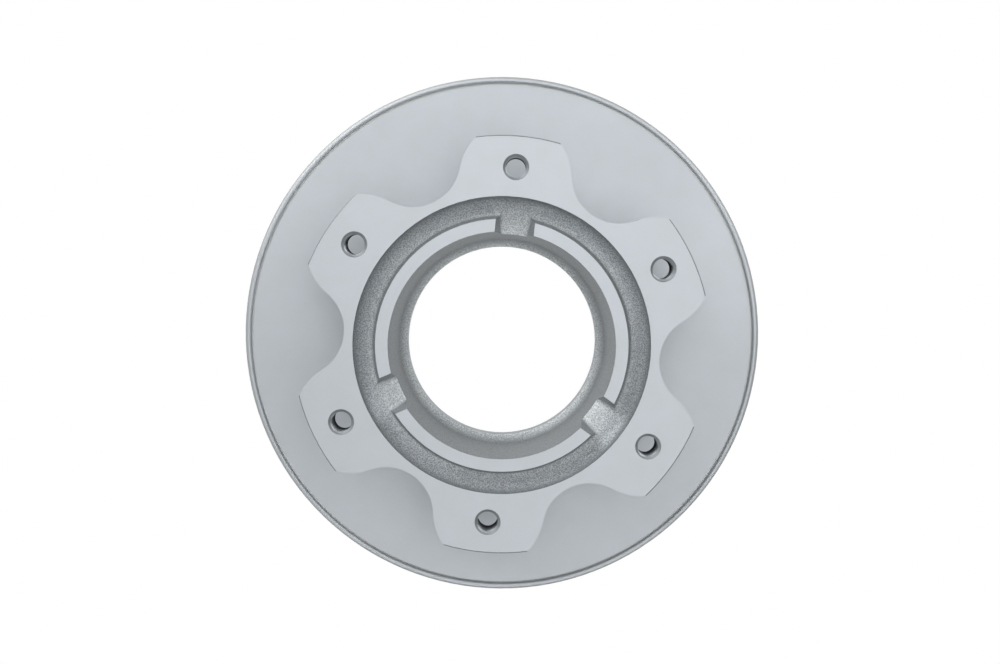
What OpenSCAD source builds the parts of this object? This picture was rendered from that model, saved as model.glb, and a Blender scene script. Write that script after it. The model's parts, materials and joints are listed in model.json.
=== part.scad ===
// Ventilated brake disc with a deep hat, one iron casting, turned and drilled where it fits or brakes.
// Lengths are in millimetres. The finished disc lies on its far friction face, with the origin on the axis
// in that face, +Z pointing out of the mounting face, and one bolt hole on +Y.

/* [Friction ring] */
// Outer diameter of the disc
disc_d = 290; // [286:1:300]
// Outer diameter of both friction faces
face_out_d = 280.4; // [270:0.2:282]
// Thickness over the two friction faces
ring_t = 26; // [24:0.5:32]
// Thickness of each of the two plates
plate_t = 8.5; // [7:0.25:9.5]
// Depth of the step from a friction face down to the rim's land
rim_step = 1; // [0.5:0.25:2]
// Width of the turned groove between a friction face and the rim's land
rim_groove_w = 1.4; // [1:0.1:2]
// Depth of that groove below the friction face
rim_groove_depth = 3; // [2.75:0.25:4]
// Rounding of the land's inner edge
land_round = 1.3; // [0.4:0.1:1.4]
// Rounding of the rim's two outer edges
rim_round = 1.8; // [0.5:0.1:2.5]
// Depth of the turned relief between the neck and the near friction face
relief = 1.5; // [0.5:0.25:3]
// Width of that relief
relief_w = 5.5; // [4.5:0.5:8]
// Chamfer where the far friction face ends at the far plate's inner edge
inlet_chamfer = 1.5; // [0.5:0.25:3]
// Inner diameter of the far plate, where the cooling air enters
far_plate_in_d = 170; // [166:1:176]

/* [Cooling vanes] */
// Number of vanes between the plates
vane_count = 36; // [24:1:42]
// Thickness of a vane
vane_t = 5; // [4:0.25:7]
// Distance from the vanes to the rim and to the far plate's inner edge
vane_setback = 3; // [3:0.5:8]

/* [Hat] */
// Height of the mounting face above the near friction face
hat_h = 86.2; // [78:0.2:94]
// How far the neck's outside lies beyond the groove of the mounting face
neck_cover = 1.7; // [1:0.1:4]
// Wall of the neck
neck_wall = 9.5; // [8:0.5:12]
// Rounding where the neck meets the ring
neck_foot_round = 3.5; // [2:0.25:4]
// Rounding where the neck meets the underside of the flange
neck_top_round = 6; // [3:0.5:10]
// Angle at which the web rises from the bore to the neck, seen from behind
web_rise = 32; // [15:1:40]
// Rounding between the web and the inside of the neck
web_round = 7; // [3:0.5:9]

/* [Lobed flange] */
// Thickness of the flange
flange_t = 19; // [16:0.5:24]
// Diameter that the ends of the lobes are turned to
lobe_turned_d = 211.6; // [208:0.2:216]
// Number of lobes, with one bolt hole in each
lobe_count = 6; // [5:1:6]
// Distance from the axis to the centre of each lobe's rounding
lobe_centre = 85; // [83:0.5:88]
// Radius of the rounding of a lobe
lobe_round = 28.1; // [24:0.1:29]
// Radius of the hollow between two lobes
valley_round = 24; // [20:0.5:26]
// Chamfer on the turned ends of the lobes
lobe_chamfer = 0.6; // [0.3:0.1:2]

/* [Bolt holes] */
// Diameter of the bolt circle
bolt_circle_d = 180; // [176:1:184]
// Bore of a bolt hole, the tapping size of its thread
bolt_hole_d = 10.2; // [8:0.1:12]
// Diameter of the chamfer at the mouth of a bolt hole
bolt_mouth_d = 13.2; // [12.4:0.1:15]

/* [Groove and pads] */
// Inner diameter of the three raised pads
pad_in_d = 115.2; // [113:0.2:120]
// Width of a pad, from the funnel to the groove
pad_w = 6.3; // [5:0.1:7]
// Width of the cast groove, from the pads to the mounting face
groove_w = 11.4; // [10.8:0.1:12]
// Depth of the groove
groove_depth = 6.2; // [5.6:0.2:7]
// Draft of the outer wall of the pads
pad_draft = 15; // [8:0.5:18]
// Rounding at the pads' foot
pad_foot_round = 1.6; // [0.6:0.1:1.8]
// Draft at the top of the groove's outer wall
groove_draft = 16; // [14:0.5:22]
// Rounding of the groove's floor, which sweeps up to the outer wall
groove_round = 7.5; // [5:0.25:8]
// Number of pads, with a gap after each
pad_count = 3; // [2:1:6]
// Angle from a bolt hole to the middle of the gap beside it
gap_turn = -1.7; // [-6:0.1:6]
// Width of a gap at the top of the pads
gap_top_w = 19.8; // [16:0.2:24]
// Width of a gap at its floor
gap_floor_w = 12.4; // [8:0.2:14]
// Depth of a gap's floor where it opens into the funnel
gap_depth = 13; // [9:0.25:18]
// How far beyond the pads' foot a gap's floor starts to fall from the groove's floor
gap_reach = 2.6; // [1:0.2:5]
// Rounding along both sides of a gap's floor
gap_round = 3; // [1:0.25:3.5]

/* [Funnel and bore] */
// Diameter of the centring bore
bore_d = 100; // [94:0.5:102]
// Depth of the bore's upper edge below the mounting face
bore_depth = 40; // [36:0.5:46]
// Length of the bore
bore_len = 10; // [7:0.5:16]
// Chamfer at the bore's lower edge
bore_chamfer = 1; // [0.5:0.1:2]
// Draft of the funnel's upper wall
funnel_draft = 5.7; // [3:0.1:7]
// Height of the funnel's lip, from the bore's upper edge to where the steep wall would meet it
lip_rise = 2.8; // [2.8:0.2:8]
// Rounding between the steep wall and the lip
funnel_round = 10.4; // [5:0.2:10.4]

/* [Edges] */
// Rounding of the outer edges that stay as cast
cast_edge = 1.5; // [0.5:0.1:2.5]
// Rounding at the foot of a cast step
cast_foot = 0.7; // [0.3:0.1:1]
// Rounding that the turning tool leaves in a corner
tool_nose = 0.4; // [0.2:0.1:0.8]

/* [Hidden] */

$fn = 144;
// Largest turn between two points of an arc, in degrees
arc_step = 9;
// Overlap of solids that join, and reach of cuts past a face
lap = 1;

// Heights are counted from the mounting face
near_z = -hat_h;
far_z = near_z - ring_t;
near_gap_z = near_z - plate_t;
far_gap_z = far_z + plate_t;
bore_end_z = -bore_depth - bore_len;
// Radii step out from the funnel over the pads, the groove and the neck to the friction faces
pad_in_r = pad_in_d / 2;
pad_out_r = pad_in_r + pad_w;
groove_r = pad_out_r + groove_w;
neck_r = groove_r + neck_cover;
hollow_r = neck_r - neck_wall;
face_in_r = neck_r + relief_w;
far_plate_in_r = far_plate_in_d / 2;
face_out_r = face_out_d / 2;
land_in_r = face_out_r + rim_groove_w;
land_w = disc_d / 2 - land_in_r;
bore_r = bore_d / 2;
knee_depth = bore_depth - lip_rise;
// Small roundings stay within the narrow walls that they lie on
groove_nose = min(tool_nose, 0.45 * rim_groove_w);
land_inner_round = min(land_round, 0.4 * land_w, rim_groove_depth - rim_step - groove_nose);
land_outer_round = min(rim_round, 0.55 * land_w);
relief_foot = min(cast_foot, 0.8 * relief);
pad_foot_r = pad_out_r + groove_depth * tan(pad_draft);
groove_foot_r = groove_r - groove_depth * tan(groove_draft);
lobe_pitch = 360 / lobe_count;

// Reach of the flat land below the bore, before the web rises
web_land = 2;
web_start_r = bore_r + bore_chamfer + web_land;
web_end_z = bore_end_z + (hollow_r - web_start_r) * tan(web_rise);
// Radius at which the funnel's steep wall would meet its lip
knee_r = pad_in_r - knee_depth * tan(funnel_draft);
// A gap's floor falls from the groove's floor to the gap's depth at the funnel
gap_end_r = pad_foot_r + gap_reach;
gap_fall = (gap_depth - groove_depth) / (gap_end_r - knee_r);
// Length of the short straight flank between a lobe's rounding and a valley's
lobe_flank = 1;
lobe_to_valley = norm([lobe_round + valley_round, lobe_flank]);
// Distance from the axis to the centre of a valley
valley_centre = lobe_centre * cos(lobe_pitch / 2)
    + sqrt(pow(lobe_to_valley, 2) - pow(lobe_centre * sin(lobe_pitch / 2), 2));

function unit(v) = v / norm(v);
function xy(p) = [p[0], p[1]];
function polar(r, a) = r * [cos(a), sin(a)];
function turned(v, a) = [v[0] * cos(a) - v[1] * sin(a), v[0] * sin(a) + v[1] * cos(a)];

// The points that stand for corner b = [x, y, radius] between its neighbours a and c
function corner(a, b, c) =
    let (
        u = unit(xy(a) - xy(b)),
        v = unit(xy(c) - xy(b)),
        half = acos(u * v) / 2,
        centre = xy(b) + unit(u + v) * b[2] / sin(half),
        first = xy(b) + u * b[2] / tan(half) - centre,
        turn = -sign(cross(u, v)) * (180 - 2 * half),
        steps = ceil(abs(turn) / arc_step)
    )
    b[2] == 0 ? [xy(b)] : [for (i = [0:steps]) centre + turned(first, turn * i / steps)];

// A closed outline with each corner rounded to its own radius
function rounded(pts) =
    let (n = len(pts))
    [for (i = [0:n - 1]) each corner(pts[(i + n - 1) % n], pts[i], pts[(i + 1) % n])];

// Half of the section through the axis, from the pads out over the rim and back through the hollow
module disc_section() {
    polygon(rounded([
        [pad_in_r, 0, 0],
        [pad_out_r, 0, 0],
        [pad_foot_r, -groove_depth, pad_foot_round],
        [groove_foot_r, -groove_depth, groove_round],
        [groove_r, 0, 0],
        [neck_r, 0, 0],
        [neck_r, near_z - relief, neck_foot_round],
        [face_in_r, near_z - relief, relief_foot],
        [face_in_r, near_z, 0],
        [face_out_r, near_z, 0],
        [face_out_r, near_z - rim_groove_depth, groove_nose],
        [land_in_r, near_z - rim_groove_depth, groove_nose],
        [land_in_r, near_z - rim_step, land_inner_round],
        [disc_d / 2, near_z - rim_step, land_outer_round],
        [disc_d / 2, far_z + rim_step, land_outer_round],
        [land_in_r, far_z + rim_step, land_inner_round],
        [land_in_r, far_z + rim_groove_depth, groove_nose],
        [face_out_r, far_z + rim_groove_depth, groove_nose],
        [face_out_r, far_z, 0],
        [far_plate_in_r + inlet_chamfer, far_z, 0],
        [far_plate_in_r, far_z + inlet_chamfer, 0],
        [far_plate_in_r, near_gap_z, 0],
        [hollow_r, near_gap_z, 2 * cast_edge],
        [hollow_r, web_end_z, web_round],
        [web_start_r, bore_end_z, 0],
        [bore_r + bore_chamfer, bore_end_z, 0],
        [bore_r, bore_end_z + bore_chamfer, 0],
        [bore_r, -bore_depth, 0],
        [knee_r, -knee_depth, funnel_round]
    ]));
}

// The turned shape of the flange, without the hollows between its lobes
module flange_section() {
    lobe_end = lobe_turned_d / 2;
    polygon(rounded([
        [neck_r - lap, 0, 0],
        [lobe_end - lobe_chamfer, 0, 0],
        [lobe_end, -lobe_chamfer, 0],
        [lobe_end, -flange_t, cast_edge],
        [neck_r, -flange_t, neck_top_round],
        [neck_r, -flange_t - neck_top_round - lap, 0],
        [neck_r - lap, -flange_t - neck_top_round - lap, 0]
    ]));
}

// The flange in plan: a round lobe for each bolt, with a round valley between two lobes
module flange_outline() {
    corners = [
        for (i = [0:lobe_count - 1])
            each [
                polar(lobe_centre, 90 + i * lobe_pitch),
                polar(valley_centre, 90 + (i + 0.5) * lobe_pitch)
            ]
    ];
    difference() {
        union() {
            polygon(corners);
            for (i = [0:lobe_count - 1]) translate(corners[2 * i]) circle(lobe_round);
        }
        for (i = [0:lobe_count - 1]) translate(corners[2 * i + 1]) circle(valley_round);
    }
}

module lobed_flange() {
    reach = flange_t + neck_top_round + 2 * lap;
    intersection() {
        rotate_extrude() flange_section();
        translate([0, 0, -reach]) linear_extrude(reach + lap) flange_outline();
    }
}

// One bolt hole with its chamfered mouth
module bolt_hole() {
    mouth = (bolt_mouth_d - bolt_hole_d) / 2;
    translate([0, 0, -flange_t - lap]) cylinder(d = bolt_hole_d, h = flange_t + 2 * lap);
    translate([0, 0, -mouth]) cylinder(d1 = bolt_hole_d, d2 = bolt_mouth_d + 2 * lap, h = mouth + lap);
}

// A thin slice across a gap, at distance r from the axis
module gap_slice(r) {
    depth = gap_depth - (r - knee_r) * gap_fall;
    draft = (gap_top_w - gap_floor_w) / 2 / gap_depth;
    translate([0, r, 0])
        rotate([90, 0, 0])
            linear_extrude(0.01)
                polygon(rounded([
                    [-gap_top_w / 2 - lap * draft, lap, 0],
                    [-gap_top_w / 2 + depth * draft, -depth, gap_round],
                    [gap_top_w / 2 - depth * draft, -depth, gap_round],
                    [gap_top_w / 2 + lap * draft, lap, 0]
                ]));
}

// The drafted gap between two pads, whose floor falls from the groove to the funnel
module pad_gap() {
    hull() {
        gap_slice(knee_r - 3);
        gap_slice(gap_end_r + lap);
    }
}

// All the air between the two plates, with the vanes left out of it
module air_passage() {
    vane_start = far_plate_in_r + vane_setback + vane_t / 2;
    vane_end = disc_d / 2 - vane_setback - vane_t / 2;
    translate([0, 0, far_gap_z])
        linear_extrude(near_gap_z - far_gap_z)
            difference() {
                circle(disc_d / 2 + lap);
                circle(far_plate_in_r - lap);
                for (i = [0:vane_count - 1])
                    rotate(i * 360 / vane_count) {
                        translate([vane_start, -vane_t / 2]) square([vane_end - vane_start, vane_t]);
                        translate([vane_start, 0]) circle(d = vane_t);
                        translate([vane_end, 0]) circle(d = vane_t);
                    }
            }
}

module brake_disc() {
    color("silver")
        translate([0, 0, -far_z])
            difference() {
                union() {
                    rotate_extrude() disc_section();
                    lobed_flange();
                }
                for (i = [0:lobe_count - 1])
                    translate([each polar(bolt_circle_d / 2, 90 + i * lobe_pitch), 0]) bolt_hole();
                for (i = [0:pad_count - 1])
                    rotate(gap_turn + i * 360 / pad_count) pad_gap();
                air_passage();
            }
}

brake_disc();
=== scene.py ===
# %% [markdown]
# # A ventilated brake disc
#
# The object is one iron casting: a vented friction ring, a neck, and a lobed flange with a cast groove,
# three pads and a funnel that leads to the centring bore. It is turned where it brakes or fits, tapped in
# six places, and then coated all over with zinc and aluminium flakes.
#
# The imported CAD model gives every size. This lesson dresses it: it takes a copy of the casting, cuts the
# threads that the CAD model leaves out, and finishes each surface the way the workshop did.

import json
from math import cos, radians, sin, tan

import bpy
from mathutils import Matrix, Vector

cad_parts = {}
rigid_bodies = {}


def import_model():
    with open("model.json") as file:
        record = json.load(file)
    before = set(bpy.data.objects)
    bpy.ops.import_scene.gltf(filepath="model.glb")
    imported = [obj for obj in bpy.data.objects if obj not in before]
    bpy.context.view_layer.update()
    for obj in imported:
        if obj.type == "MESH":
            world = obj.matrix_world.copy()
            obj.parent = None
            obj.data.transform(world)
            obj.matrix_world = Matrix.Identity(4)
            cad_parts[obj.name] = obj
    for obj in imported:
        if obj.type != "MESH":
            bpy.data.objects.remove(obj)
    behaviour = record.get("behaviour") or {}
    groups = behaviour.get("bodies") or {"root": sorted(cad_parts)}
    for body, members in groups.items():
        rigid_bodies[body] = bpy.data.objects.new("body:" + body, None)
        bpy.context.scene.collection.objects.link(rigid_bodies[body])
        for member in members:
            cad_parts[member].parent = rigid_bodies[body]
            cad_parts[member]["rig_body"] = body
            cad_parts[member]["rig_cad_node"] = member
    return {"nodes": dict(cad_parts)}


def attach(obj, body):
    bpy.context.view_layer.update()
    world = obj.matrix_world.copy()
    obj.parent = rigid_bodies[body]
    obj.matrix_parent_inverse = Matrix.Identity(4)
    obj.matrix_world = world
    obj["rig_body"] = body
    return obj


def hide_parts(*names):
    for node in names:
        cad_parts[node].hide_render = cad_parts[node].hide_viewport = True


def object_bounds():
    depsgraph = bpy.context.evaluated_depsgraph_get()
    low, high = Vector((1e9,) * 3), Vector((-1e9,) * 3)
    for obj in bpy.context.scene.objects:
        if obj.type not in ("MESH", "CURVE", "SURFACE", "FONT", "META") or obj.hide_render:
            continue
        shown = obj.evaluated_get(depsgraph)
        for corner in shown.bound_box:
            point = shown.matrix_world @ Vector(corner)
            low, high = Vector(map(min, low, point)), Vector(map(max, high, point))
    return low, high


MM = 0.001

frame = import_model()
cad_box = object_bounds()
disc_node = frame["nodes"]["brake_disc"]
top = cad_box[1].z
print("CAD box in mm:", [[round(v / MM, 1) for v in corner] for corner in cad_box])

# %% [markdown]
# Blender's operators act on whatever is selected, and loading leaves the CAD node selected. So each step
# below first deselects everything, and then picks its object.

# %% A helper that picks one object
def pick(piece):
    bpy.ops.object.select_all(action="DESELECT")
    piece.select_set(True)
    bpy.context.view_layer.objects.active = piece


# %% [markdown]
# The photograph was taken from close by, almost straight down the axis. Circles at different depths then
# have different centres in the picture, and from those the camera's place follows: 720 mm over the mounting
# face and 49 mm off the axis, tilted back by 3.3 degrees. The camera is also turned by 4.6 degrees, so that
# no hole is quite at the top. The lens is given for a sensor 36 mm wide, as on a full-frame camera.

# %% The camera
SENSOR_W = 36
LENS = 51.54
EYE = Vector((0.4, 48.63, 720)) * MM + Vector((0, 0, top))
TILT, LEAN, TURN = radians(-3.307), radians(0.101), radians(4.565)

bpy.ops.object.camera_add()
camera = bpy.context.object
camera.name = "camera"
camera.data.lens = LENS
camera.data.sensor_width = SENSOR_W
turn = Matrix.Rotation(TURN, 4, "Z")
aim = Matrix.Rotation(LEAN, 4, "Y") @ Matrix.Rotation(TILT, 4, "X")
camera.matrix_world = turn @ Matrix.Translation(EYE) @ aim
bpy.context.scene.camera = camera
print("camera", [round(v, 4) for v in camera.location], "lens", LENS)

# %% [markdown]
# A procedural material is a small graph of nodes. One function adds a node, sets its properties and sockets,
# and links it. Colours are written as sRGB hex values, as a paint chart gives them, and a second function
# turns them to the linear values that Blender computes with.

# %% Helpers for materials
def linear(hex_colour):
    channels = [int(hex_colour[i:i + 2], 16) / 255 for i in (1, 3, 5)]
    return (*[c / 12.92 if c <= 0.04045 else ((c + 0.055) / 1.055) ** 2.4 for c in channels], 1)


def add(tree, kind, settings=None, **sockets):
    """Adds a node. settings are its properties, and sockets are values or other nodes' outputs."""
    node = tree.nodes.new(kind)
    for name, value in (settings or {}).items():
        setattr(node, name, value)
    for name, value in sockets.items():
        socket = node.inputs[int(name[1:]) if name[0] == "_" else name.replace("_", " ")]
        if isinstance(value, bpy.types.NodeSocket):
            tree.links.new(value, socket)
        else:
            socket.default_value = value
    return node


def new_material(name):
    material = bpy.data.materials.new(name)
    material.use_nodes = True
    material.node_tree.nodes.clear()
    return material, material.node_tree


# %% [markdown]
# The disc lies on a light table: a white sheet that glows by itself, so that the picture's ground is pure
# white, also where it is seen through the bore. Only the camera sees the sheet. The light that a real table
# throws up into the bore comes from the world's lower half instead, because its strength can then be set
# apart from the ground's white. From below the sheet is clear, so that the back can be looked at too.

# %% The light table
FLOOR_GAP = 0.2 * MM
FLOOR_SIZE = 30
floor_z = cad_box[0].z - FLOOR_GAP
bpy.ops.object.select_all(action="DESELECT")
bpy.ops.mesh.primitive_plane_add(size=FLOOR_SIZE, location=(0, 0, floor_z))
floor = bpy.context.object
floor.name = "light_table"
floor.visible_diffuse = floor.visible_glossy = floor.visible_shadow = False

paper, tree = new_material("white translucent sheet, lit from below")
glow = add(tree, "ShaderNodeEmission", Color=linear("#ffffff"), Strength=1.0)
clear = add(tree, "ShaderNodeBsdfTransparent")
side = add(tree, "ShaderNodeNewGeometry")
mix = add(tree, "ShaderNodeMixShader", _0=side.outputs["Backfacing"],
          _1=glow.outputs[0], _2=clear.outputs[0])
add(tree, "ShaderNodeOutputMaterial", Surface=mix.outputs[0])
floor.data.materials.append(paper)
print("light table at", round(floor_z / MM, 1), "mm")

# %% [markdown]
# The photograph's light is soft and comes from all round, most of it from the upper left. Three softboxes
# hang high and light the flat faces, four stand at half height, and four low ones draw the grooves and the
# grain. The low ones look strong, but a flat face sees them at a slant and takes little light from them.
# All stand 2 m away. Each is set by two angles: how high it is, and which way it stands as the picture
# shows it.

# %% Soft studio light
STAND = 2.0
LIGHTS = {
    # name: (height in degrees, degrees round from the picture's right, size in metres, power in watts)
    "overhead": (90, 0, 0.9, 1.8),
    "high_top": (75, 90, 0.9, 3.9),
    "high_right": (75, 0, 0.9, 3.2),
    "mid_upper_left": (50, 135, 1.0, 7.5),
    "mid_upper_right": (50, 45, 1.0, 4.7),
    "mid_lower_right": (50, 315, 1.0, 1.8),
    "mid_bottom": (50, 270, 1.0, 7.9),
    "low_upper_left": (25, 135, 1.2, 27.8),
    "low_upper_right": (25, 45, 1.2, 14.0),
    "low_lower_left": (25, 225, 1.2, 6.8),
    "low_lower_right": (25, 315, 1.2, 6.1),
}
for name, (height, way, size, power) in LIGHTS.items():
    height, way = radians(height), radians(way)
    place = STAND * Vector((cos(height) * cos(way), cos(height) * sin(way), sin(height)))
    bpy.ops.object.light_add(type="AREA", location=place)
    light = bpy.context.object
    light.name = name
    light.data.shape = "DISK"
    light.data.size = size
    light.data.energy = power
    light.rotation_euler = (-place).to_track_quat("-Z", "Y").to_euler()
    light.visible_camera = False
print(len(LIGHTS), "softboxes")

# %% [markdown]
# The world gives the light from below. Its height, from -1 straight down to 1 straight up, goes through a
# soft step that is bright below the horizon and almost dark above it.

# %% Light from below
BELOW, ABOVE = 0.78, 0.02
STEP_DOWN = -0.1
world = bpy.data.worlds.new("studio")
bpy.context.scene.world = world
world.use_nodes = True
tree = world.node_tree
tree.nodes.clear()
way = add(tree, "ShaderNodeTexCoord")
height = add(tree, "ShaderNodeSeparateXYZ", _0=way.outputs["Generated"])
below = add(tree, "ShaderNodeMapRange", Value=height.outputs["Z"], From_Min=STEP_DOWN, From_Max=0.0,
            To_Min=BELOW, To_Max=ABOVE)
backdrop = add(tree, "ShaderNodeBackground", Color=linear("#ffffff"), Strength=below.outputs[0])
add(tree, "ShaderNodeOutputWorld", Surface=backdrop.outputs[0])
bpy.context.scene.view_settings.view_transform = "Standard"
print("light from below:", BELOW)

# %% [markdown]
# The casting. The CAD node comes as loose triangles, so its copy is merged into one skin first. Two marks that
# belong to the node alone are taken off the copy. It later takes the node's place in the picture, and the
# node stays in the physics model.

# %% A merged copy of the casting
MERGE = 0.002 * MM

casting = disc_node.copy()
casting.data = disc_node.data.copy()
casting.name = "disc_casting"
casting.data.name = "disc_casting"
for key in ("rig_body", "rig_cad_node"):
    if key in casting:
        del casting[key]
bpy.context.scene.collection.objects.link(casting)
casting.parent = None
pick(casting)
bpy.ops.mesh.customdata_custom_splitnormals_clear()
bpy.ops.object.mode_set(mode="EDIT")
bpy.ops.mesh.select_all(action="SELECT")
bpy.ops.mesh.remove_doubles(threshold=MERGE)
bpy.ops.mesh.select_all(action="DESELECT")
bpy.ops.mesh.select_non_manifold()
bpy.ops.object.mode_set(mode="OBJECT")
open_edges = sum(e.select for e in casting.data.edges)
print("casting:", len(casting.data.polygons), "faces,", open_edges, "open edges")

# %% [markdown]
# Each bolt hole has an M12 thread with a pitch of 1.75 mm. A tap cuts it as a V of 60 degrees that winds
# round the bore, with a flat at its root an eighth of the pitch wide. Here the V is drawn once as a small
# outline beside the axis. The Screw modifier winds it into the shape of the tap's cut, one and a half turns
# past each face of the flange, and the Boolean modifier takes one copy of it out of each hole.

# %% The tap's cut, modelled once
PITCH = 1.75
THREAD_R = 6.0
CUT_INNER_R = 4.8
BOLT_CIRCLE_R = 90
FLANGE_T = 19
HOLES = 6
FIRST_HOLE = 90
STEPS_PER_TURN = 36
FLANK = radians(30)
OVERRUN = 1.5 * PITCH

root_half = PITCH / 8 / 2
mouth_half = root_half + (THREAD_R - CUT_INNER_R) * tan(FLANK)
turns = int((FLANGE_T + 2 * OVERRUN) / PITCH) + 1
start_depth = FLANGE_T + OVERRUN

bpy.ops.object.select_all(action="DESELECT")
bpy.ops.mesh.primitive_plane_add(size=1)
tap = bpy.context.object
tap.name = "tap"
corners = [(CUT_INNER_R, -mouth_half), (THREAD_R, -root_half),
           (CUT_INNER_R, mouth_half), (THREAD_R, root_half)]
for vertex, (r, z) in zip(tap.data.vertices, corners):
    vertex.co = Vector((r, 0, z - start_depth)) * MM + Vector((0, 0, top))
bpy.ops.object.mode_set(mode="EDIT")
bpy.ops.mesh.select_all(action="SELECT")
bpy.ops.mesh.delete(type="ONLY_FACE")
bpy.ops.object.mode_set(mode="OBJECT")
screw = tap.modifiers.new("wind", "SCREW")
screw.steps = screw.render_steps = STEPS_PER_TURN
screw.iterations = turns
screw.screw_offset = PITCH * MM
screw.use_normal_calculate = True
bpy.ops.object.modifier_apply(modifier="wind")
bpy.ops.object.mode_set(mode="EDIT")
bpy.ops.mesh.select_all(action="SELECT")
bpy.ops.mesh.remove_doubles(threshold=MERGE)
bpy.ops.mesh.select_all(action="DESELECT")
bpy.ops.mesh.select_non_manifold()
bpy.ops.mesh.fill()
bpy.ops.mesh.select_all(action="SELECT")
bpy.ops.mesh.normals_make_consistent(inside=False)
bpy.ops.mesh.select_all(action="DESELECT")
bpy.ops.mesh.select_non_manifold()
bpy.ops.object.mode_set(mode="OBJECT")
print("tap:", len(tap.data.polygons), "faces,", sum(e.select for e in tap.data.edges), "open edges")

# %% Six taps, moved to their holes and taken out of the casting
hole_angles = [radians(FIRST_HOLE + i * 360 / HOLES) for i in range(HOLES)]
hole_centres = [Vector((cos(angle), sin(angle), 0)) * BOLT_CIRCLE_R for angle in hole_angles]
taps = []
for centre in hole_centres:
    copy = tap.copy()
    copy.data = tap.data.copy()
    bpy.context.scene.collection.objects.link(copy)
    copy.data.transform(Matrix.Translation(centre * MM))
    taps.append(copy)
bpy.data.objects.remove(tap)
pick(taps[0])
for copy in taps[1:]:
    copy.select_set(True)
bpy.ops.object.join()
all_taps = bpy.context.object

pick(casting)
cut = casting.modifiers.new("tap the holes", "BOOLEAN")
cut.operation = "DIFFERENCE"
cut.solver = "EXACT"
cut.object = all_taps
bpy.ops.object.modifier_apply(modifier="tap the holes")
bpy.data.objects.remove(all_taps)
print("casting with threads:", len(casting.data.polygons), "faces")

# %% [markdown]
# The finish. The whole disc carries the same thin silver-grey coating, flakes of zinc and aluminium in a dull
# binder, but what lies below it shows through. A turned face is smooth and satin. A face as cast keeps the
# print of the sand it was poured in.
#
# On a turned face the eye sees satin with faint clouds, because the flakes settle unevenly as the coating
# runs off. The clouds are noise about 12 mm across, and a much finer noise stands for the flakes.

# %% Coated, turned iron
CLOUD = 12 * MM
FLAKE = 0.5 * MM
FLAKE_RELIEF = 0.02 * MM
turned, tree = new_material("zinc flake coating on turned iron")
place = add(tree, "ShaderNodeTexCoord")
clouds = add(tree, "ShaderNodeTexNoise", Vector=place.outputs["Object"], Scale=1 / CLOUD, Detail=2)
tint = add(tree, "ShaderNodeMix", {"data_type": "RGBA"}, Factor=clouds.outputs["Fac"],
           _6=linear("#bdc3c5"), _7=linear("#c4c8cf"))
flakes = add(tree, "ShaderNodeTexNoise", Vector=place.outputs["Object"], Scale=1 / FLAKE, Detail=1)
relief = add(tree, "ShaderNodeBump", Strength=0.25, Distance=FLAKE_RELIEF, Height=flakes.outputs["Fac"])
shader = add(tree, "ShaderNodeBsdfPrincipled", Base_Color=tint.outputs["Result"],
             Metallic=1.0, Roughness=0.55, Normal=relief.outputs[0])
add(tree, "ShaderNodeOutputMaterial", Surface=shader.outputs[0])

# %% [markdown]
# Moulding sand has grains of about 0.3 mm, and the iron that fills them comes out pebbled. Grains that small
# would hardly show in the picture, so they are drawn at 0.6 mm. The hollows between them are a little darker.
#
# The funnel and the gaps between the pads are painted lighter than the groove: painted light on the funnel and
# on the gap floors, and painted shade in the groove. The shader tells one from the other by the distance from
# the axis, and passes softly from the lighter colours to the darker ones between the two radii.
#
# Steep walls get painted shade: their colour is mixed towards a dark grey, most on an upright wall. The Z of a
# face's normal tells how steep it is: 1 on a face that lies flat, and 0 on an upright wall.

# %% Coated iron as cast
GRAIN = 0.6 * MM
GRAIN_RELIEF = 0.13 * MM
HOLLOW, CREST = 0.36, 0.64
# Painted light inside the first radius, painted shade in the groove beyond the second
PAINTED_LIGHT_R, PAINTED_SHADE_R = 52 * MM, 70 * MM
# How steep a face must be for painted shade, and how much of its own colour an upright wall keeps
STEEP, GENTLE = 0.25, 0.75
STEEP_SHADE = 0.4
cast, tree = new_material("zinc flake coating on sand-cast iron")
place = add(tree, "ShaderNodeTexCoord")
grit = add(tree, "ShaderNodeTexNoise", Vector=place.outputs["Object"], Scale=1 / GRAIN, Detail=2)
grains = add(tree, "ShaderNodeMapRange", Value=grit.outputs["Fac"], From_Min=HOLLOW, From_Max=CREST)
across = add(tree, "ShaderNodeVectorMath", {"operation": "MULTIPLY"},
             _0=place.outputs["Object"], _1=(1, 1, 0))
distance = add(tree, "ShaderNodeVectorMath", {"operation": "LENGTH"}, _0=across.outputs[0])
# Painted light near the axis passes softly to painted shade in the groove
light_to_shade = add(tree, "ShaderNodeMapRange", Value=distance.outputs["Value"],
            From_Min=PAINTED_LIGHT_R, From_Max=PAINTED_SHADE_R)
hollow = add(tree, "ShaderNodeMix", {"data_type": "RGBA"}, Factor=light_to_shade.outputs[0],
             _6=linear("#afb5b7"), _7=linear("#7f8588"))
crest = add(tree, "ShaderNodeMix", {"data_type": "RGBA"}, Factor=light_to_shade.outputs[0],
            _6=linear("#eaedee"), _7=linear("#b5babd"))
full = add(tree, "ShaderNodeMix", {"data_type": "RGBA"}, Factor=grains.outputs[0],
           _6=hollow.outputs["Result"], _7=crest.outputs["Result"])
surface = add(tree, "ShaderNodeNewGeometry")
facing = add(tree, "ShaderNodeSeparateXYZ", _0=surface.outputs["Normal"])
level = add(tree, "ShaderNodeMath", {"operation": "ABSOLUTE"}, _0=facing.outputs["Z"])
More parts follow.
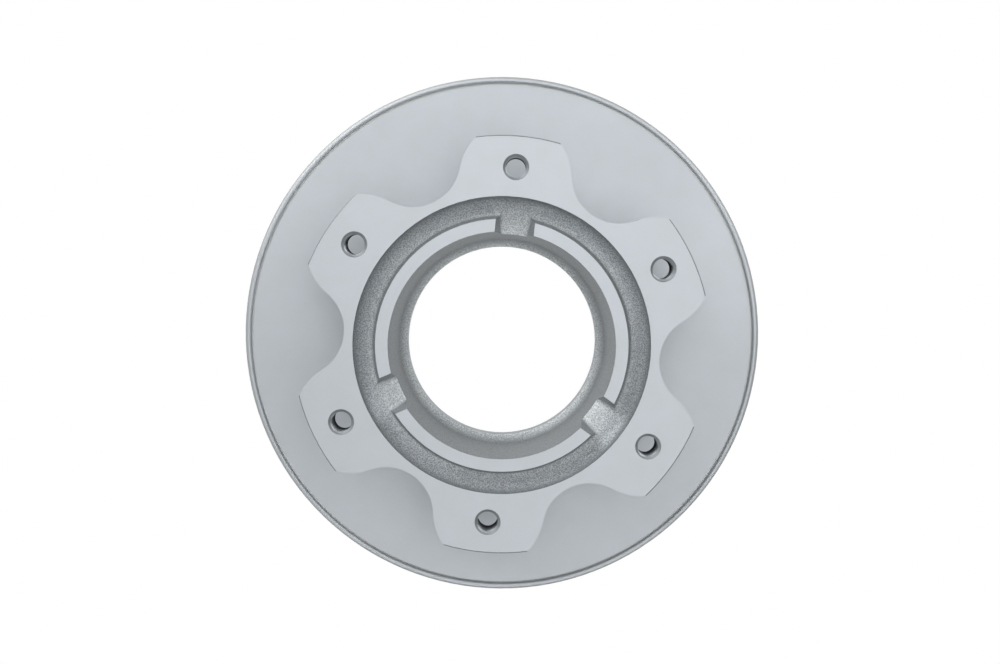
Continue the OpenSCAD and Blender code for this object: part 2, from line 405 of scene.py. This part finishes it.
# Painted shade: steep walls are mixed towards the dark grey below
steep_shade = add(tree, "ShaderNodeMapRange", Value=level.outputs[0], From_Min=STEEP, From_Max=GENTLE,
           To_Min=STEEP_SHADE, To_Max=1.0)
tint = add(tree, "ShaderNodeMix", {"data_type": "RGBA"}, Factor=steep_shade.outputs[0],
           _6=linear("#777c7f"), _7=full.outputs["Result"])
relief = add(tree, "ShaderNodeBump", Strength=1.0, Distance=GRAIN_RELIEF, Height=grains.outputs[0])
shader = add(tree, "ShaderNodeBsdfPrincipled", Base_Color=tint.outputs["Result"],
             Metallic=0.75, Roughness=0.55, Normal=relief.outputs[0])
add(tree, "ShaderNodeOutputMaterial", Surface=shader.outputs[0])

# %% [markdown]
# Three finishes carry painted light and shade. The narrow chamfers at the lobes' ends and at the mouths of the
# holes are painted darker, as painted shade, and the rounded rim is painted a little darker. The groove beside
# the rim is painted brightest, as painted light. The three are one finish in three tones, so a loop makes
# them.

# %% Painted shade on chamfers and rim, painted light in the rim's groove
FINE_CLOUD = 3 * MM
# Painted shade on the chamfers and the rounded rim, painted light in the groove beside the rim
PAINTED_EDGE_TONES = {
    # material: (colour where the coating is thinner, colour where it is thicker)
    "zinc flake coating, painted shade on a turned chamfer": ("#949a9d", "#a2a7aa"),
    "zinc flake coating, painted shade on a rounded rim": ("#b4b7b8", "#bec1c2"),
    "zinc flake coating, painted light in a turned groove": ("#cbcdcd", "#d3d5d5"),
}
painted_edge_materials = []
for name, (thinner, thicker) in PAINTED_EDGE_TONES.items():
    coating, tree = new_material(name)
    place = add(tree, "ShaderNodeTexCoord")
    clouds = add(tree, "ShaderNodeTexNoise", Vector=place.outputs["Object"], Scale=1 / FINE_CLOUD, Detail=2)
    tint = add(tree, "ShaderNodeMix", {"data_type": "RGBA"}, Factor=clouds.outputs["Fac"],
               _6=linear(thinner), _7=linear(thicker))
    shader = add(tree, "ShaderNodeBsdfPrincipled", Base_Color=tint.outputs["Result"],
                 Metallic=1.0, Roughness=0.7)
    add(tree, "ShaderNodeOutputMaterial", Surface=shader.outputs[0])
    painted_edge_materials.append(coating)

# %% [markdown]
# The threads are tapped before the coating too. A thread is silver at its mouth and passes softly to dark iron
# with a film of oil further down the hole.

# %% Threads, silver at the mouth and darker further down
SILVER_DEPTH, DARK_DEPTH = 2 * MM, 14 * MM
OIL = 2 * MM
tapped, tree = new_material("tapped iron, oiled, with zinc flake coating at the mouth")
place = add(tree, "ShaderNodeTexCoord")
oil = add(tree, "ShaderNodeTexNoise", Vector=place.outputs["Object"], Scale=1 / OIL, Detail=2)
deep_tone = add(tree, "ShaderNodeMix", {"data_type": "RGBA"}, Factor=oil.outputs["Fac"],
           _6=linear("#33363a"), _7=linear("#4b4f53"))
height = add(tree, "ShaderNodeSeparateXYZ", _0=place.outputs["Object"])
mouth_to_depth = add(tree, "ShaderNodeMapRange", Value=height.outputs["Z"],
            From_Min=top - DARK_DEPTH, From_Max=top - SILVER_DEPTH)
tint = add(tree, "ShaderNodeMix", {"data_type": "RGBA"}, Factor=mouth_to_depth.outputs[0],
           _6=deep_tone.outputs["Result"], _7=linear("#a4a9ac"))
shader = add(tree, "ShaderNodeBsdfPrincipled", Base_Color=tint.outputs["Result"],
             Metallic=1.0, Roughness=0.5)
add(tree, "ShaderNodeOutputMaterial", Surface=shader.outputs[0])
finishes = [turned, cast, tapped, *painted_edge_materials]
print("materials:", [m.name for m in finishes])

# %% [markdown]
# Which face has which finish follows from how the part is made. The lathe reaches the mounting face, the
# ends of the lobes, the bore, both friction faces, the relief beside the neck and the rim with its grooves.
# The drill reaches the holes. The rest stays as cast, such as all that lies between the two plates.
#
# So three things tell a face's finish: how far it lies from the axis, how deep it lies below the mounting
# face, and how far it is from the nearest hole. The sizes below are in millimetres, as in the CAD model.

# %% Sizes that part the finishes
# Radii from the axis outwards
BORE_R, BORE_EDGE_R = 50, 51.5
RELIEF_IN_R, RELIEF_OUT_R = 78, 83
LOBE_TURNED_R = 105.8
FACE_OUT_R, GROOVE_OUT_R, RIM_EDGE_R, RIM_WALL_R = 140.2, 141.6, 143.8, 144.9
# Depths below the mounting face
HAT_H, RING_T, PLATE_T = 86.2, 26, 8.5
BORE_TOP, BORE_END = 40, 50
RELIEF_END = HAT_H + 2
VENT_TOP, VENT_END = HAT_H + PLATE_T, HAT_H + RING_T - PLATE_T
LOBE_CHAMFER, LOBE_END = 0.6, FLANGE_T - 1
# The chamfered mouth of a hole
MOUTH_R, MOUTH_DEPTH = 6.6, 1.5
# A face this close to a size counts as lying on it, and one this level counts as flat
NEAR = 0.05
LEVEL = 0.99

# %% The finish of each face
# CHAMFER and RIM_EDGE faces take painted shade, RIM_GROOVE faces take painted light
TURNED, CAST, TAPPED, CHAMFER, RIM_EDGE, RIM_GROOVE = range(len(finishes))


def finish_of(face):
    """The finish of a face, from where it lies and which way it looks."""
    x, y, z = face.center / MM
    spot, depth = Vector((x, y)), top / MM - z
    r = spot.length
    flat = abs(face.normal.z) > LEVEL
    hole = min((spot - centre.xy).length for centre in hole_centres)
    if hole < MOUTH_R + NEAR and depth < FLANGE_T + NEAR and not flat:
        return CHAMFER if depth < MOUTH_DEPTH else TAPPED
    if min(abs(depth - plane) for plane in (0, HAT_H, HAT_H + RING_T)) < NEAR:
        return TURNED
    if r > LOBE_TURNED_R - LOBE_CHAMFER - NEAR and depth < LOBE_END:
        return CHAMFER if depth < LOBE_CHAMFER else TURNED
    if VENT_TOP - NEAR < depth < VENT_END + NEAR:
        return CAST
    if r > FACE_OUT_R - NEAR and depth > HAT_H:
        if r < GROOVE_OUT_R + NEAR:
            return RIM_GROOVE
        return RIM_EDGE if RIM_EDGE_R < r < RIM_WALL_R else TURNED
    if BORE_R - NEAR < r < BORE_EDGE_R and BORE_TOP < depth < BORE_END + NEAR:
        return TURNED
    return TURNED if RELIEF_IN_R < r < RELIEF_OUT_R and HAT_H < depth < RELIEF_END else CAST


casting.data.materials.clear()
for material in finishes:
    casting.data.materials.append(material)
for face in casting.data.polygons:
    face.material_index = finish_of(face)
counts = [sum(f.material_index == i for f in casting.data.polygons) for i in range(len(finishes))]
print("faces per finish:", counts)

# %% [markdown]
# The round walls are made of small flat faces. Smoothing by angle shades them as one round wall, and leaves
# every edge that turns by more than 28 degrees crisp. Then the dressed casting takes the CAD node's place.

# %% The dressed casting takes the node's place
SHARP = radians(28)
pick(casting)
bpy.ops.object.shade_smooth_by_angle(angle=SHARP)
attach(casting, "root")
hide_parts("brake_disc")
